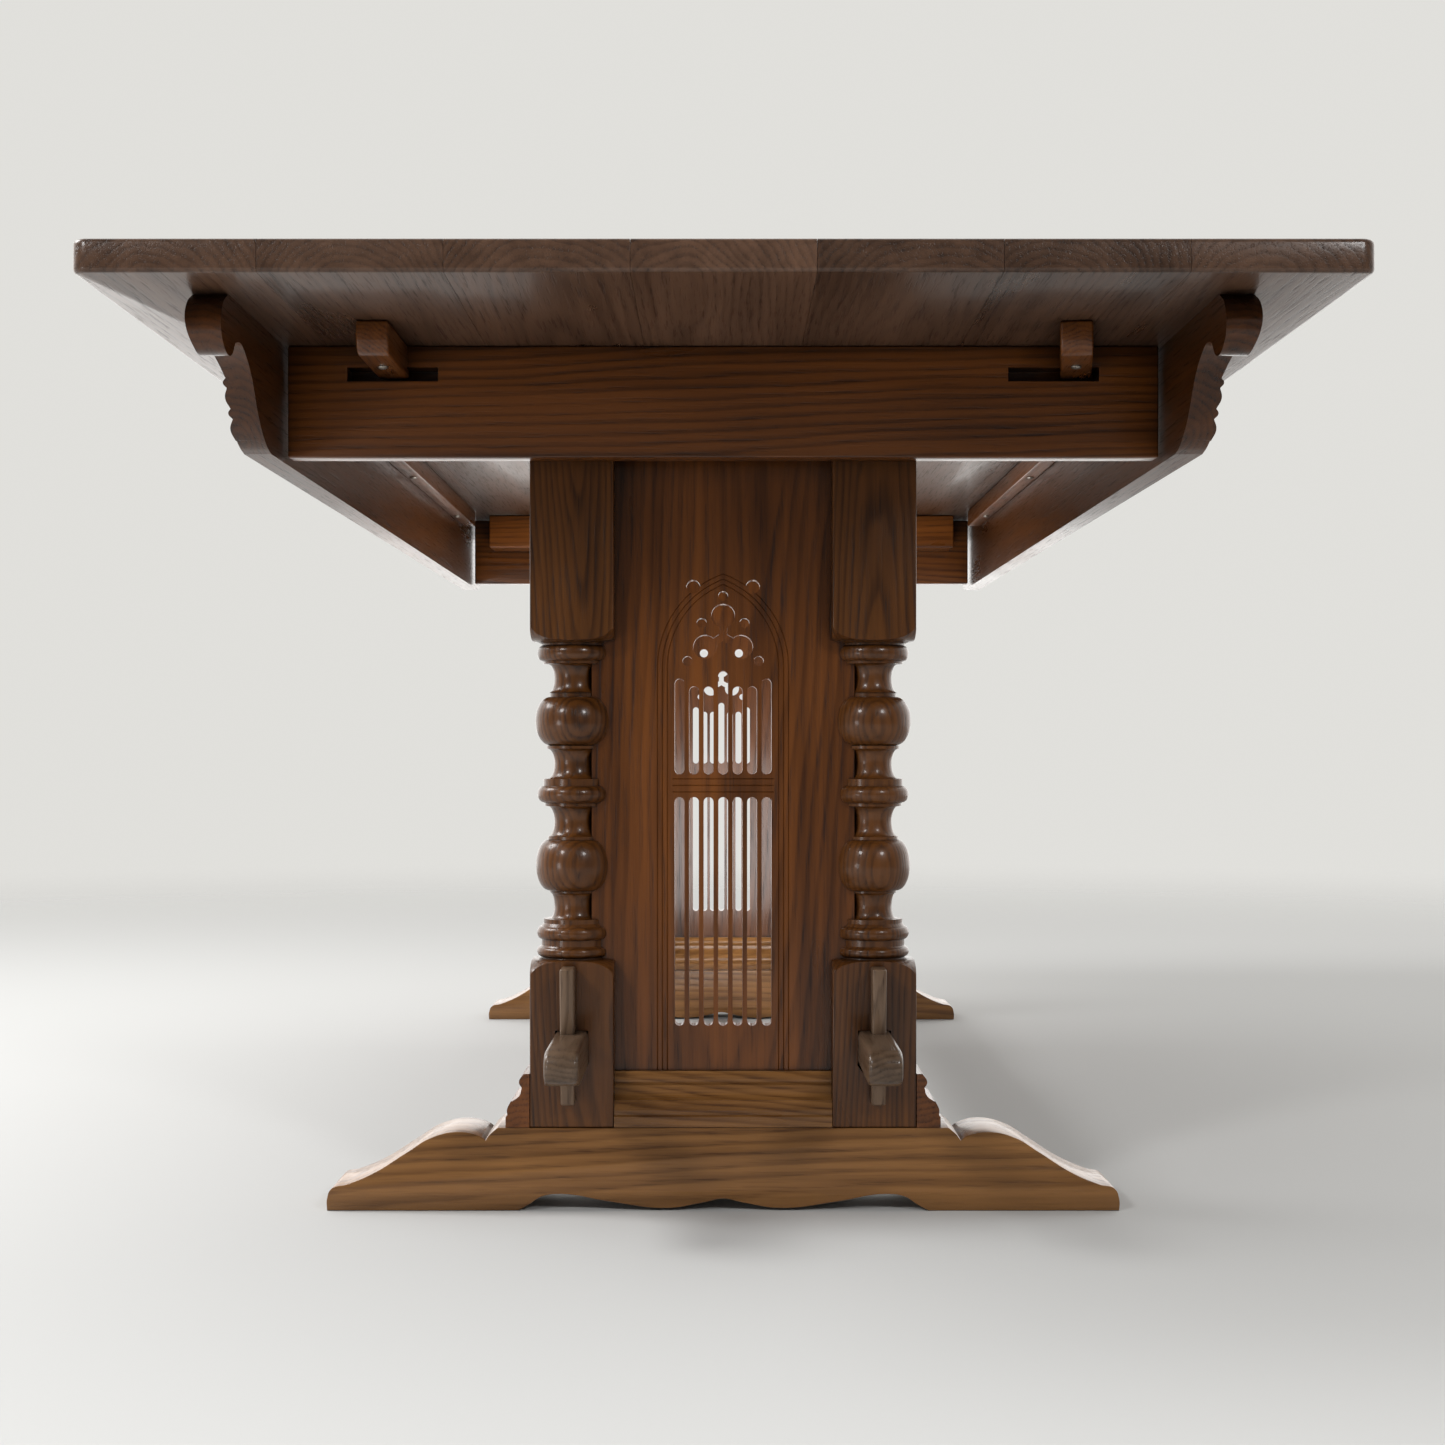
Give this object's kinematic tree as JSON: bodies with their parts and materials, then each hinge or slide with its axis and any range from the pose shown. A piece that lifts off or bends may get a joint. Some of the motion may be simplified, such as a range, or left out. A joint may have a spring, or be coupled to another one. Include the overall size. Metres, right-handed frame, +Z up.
{
  "type": "communion table",
  "caption": "Knock-down refectory communion table in dark oak, with pierced gothic trestles, turned posts, wedged stretchers and a planked top on moulded rails.",
  "frame": {"origin": "on the floor under the middle of the table", "axes": "+X across the table's width, +Y along its length, +Z up"},
  "size_m": [0.938, 1.98, 0.7625],
  "materials": {
    "top_oak": "dark stained oak, lacquered",
    "lacquered_oak": "red-brown stained oak, shaded at the edges, lacquered",
    "turned_oak": "red-brown stained oak, glossy lacquer",
    "foot_oak": "lighter brown stained oak, lacquered",
    "screw_steel": "dull steel"
  },
  "bodies": {
    "table": {"top_board_1": "top_oak", "top_board_2": "top_oak", "top_board_3": "top_oak", "top_board_4": "top_oak", "top_board_5": "top_oak", "top_board_6": "top_oak", "top_board_7": "top_oak", "side_rail_left": "lacquered_oak", "batten_left": "lacquered_oak", "stretcher_left": "lacquered_oak", "side_rail_right": "lacquered_oak", "batten_right": "lacquered_oak", "stretcher_right": "lacquered_oak", "foot_front": "foot_oak", "panel_front": "lacquered_oak", "plinth_front": "lacquered_oak", "bearer_front": "lacquered_oak", "apron_front": "lacquered_oak", "post_front_left": "turned_oak", "return_moulding_front_left": "lacquered_oak", "button_screw_front_left": "screw_steel", "post_front_right": "turned_oak", "return_moulding_front_right": "lacquered_oak", "button_screw_front_right": "screw_steel", "foot_back": "foot_oak", "panel_back": "lacquered_oak", "plinth_back": "lacquered_oak", "bearer_back": "lacquered_oak", "apron_back": "lacquered_oak", "post_back_left": "turned_oak", "return_moulding_back_left": "lacquered_oak", "button_screw_back_left": "screw_steel", "post_back_right": "turned_oak", "return_moulding_back_right": "lacquered_oak", "button_screw_back_right": "screw_steel", "batten_screw_left_1": "screw_steel", "batten_screw_left_2": "screw_steel", "batten_screw_left_3": "screw_steel", "batten_screw_right_1": "screw_steel", "batten_screw_right_2": "screw_steel", "batten_screw_right_3": "screw_steel"},
    "wedge_front_left": {"wedge_front_left": "lacquered_oak"},
    "button_front_left": {"button_front_left": "lacquered_oak"},
    "wedge_front_right": {"wedge_front_right": "lacquered_oak"},
    "button_front_right": {"button_front_right": "lacquered_oak"},
    "wedge_back_left": {"wedge_back_left": "lacquered_oak"},
    "button_back_left": {"button_back_left": "lacquered_oak"},
    "wedge_back_right": {"wedge_back_right": "lacquered_oak"},
    "button_back_right": {"button_back_right": "lacquered_oak"}
  },
  "joints": [
    {"name": "wedge_front_left_lift", "type": "slide", "parent": "table", "child": "wedge_front_left", "axis": [0, 0, 1], "range_m": [0, 0.08]},
    {"name": "button_front_left_turn", "type": "hinge", "parent": "table", "child": "button_front_left", "pos_m": [-0.28, -0.7605, 0.7245], "axis": [0, 0, 1], "range_deg": [-20, 20]},
    {"name": "wedge_front_right_lift", "type": "slide", "parent": "table", "child": "wedge_front_right", "axis": [0, 0, 1], "range_m": [0, 0.08]},
    {"name": "button_front_right_turn", "type": "hinge", "parent": "table", "child": "button_front_right", "pos_m": [0.2905, -0.7605, 0.7245], "axis": [0, 0, 1], "range_deg": [-3, 29]},
    {"name": "wedge_back_left_lift", "type": "slide", "parent": "table", "child": "wedge_back_left", "axis": [0, 0, 1], "range_m": [0, 0.08]},
    {"name": "button_back_left_turn", "type": "hinge", "parent": "table", "child": "button_back_left", "pos_m": [-0.28, 0.7605, 0.7245], "axis": [0, 0, 1], "range_deg": [-20, 20]},
    {"name": "wedge_back_right_lift", "type": "slide", "parent": "table", "child": "wedge_back_right", "axis": [0, 0, 1], "range_m": [0, 0.08]},
    {"name": "button_back_right_turn", "type": "hinge", "parent": "table", "child": "button_back_right", "pos_m": [0.28, 0.7605, 0.7245], "axis": [0, 0, 1], "range_deg": [-20, 20]}
  ]
}
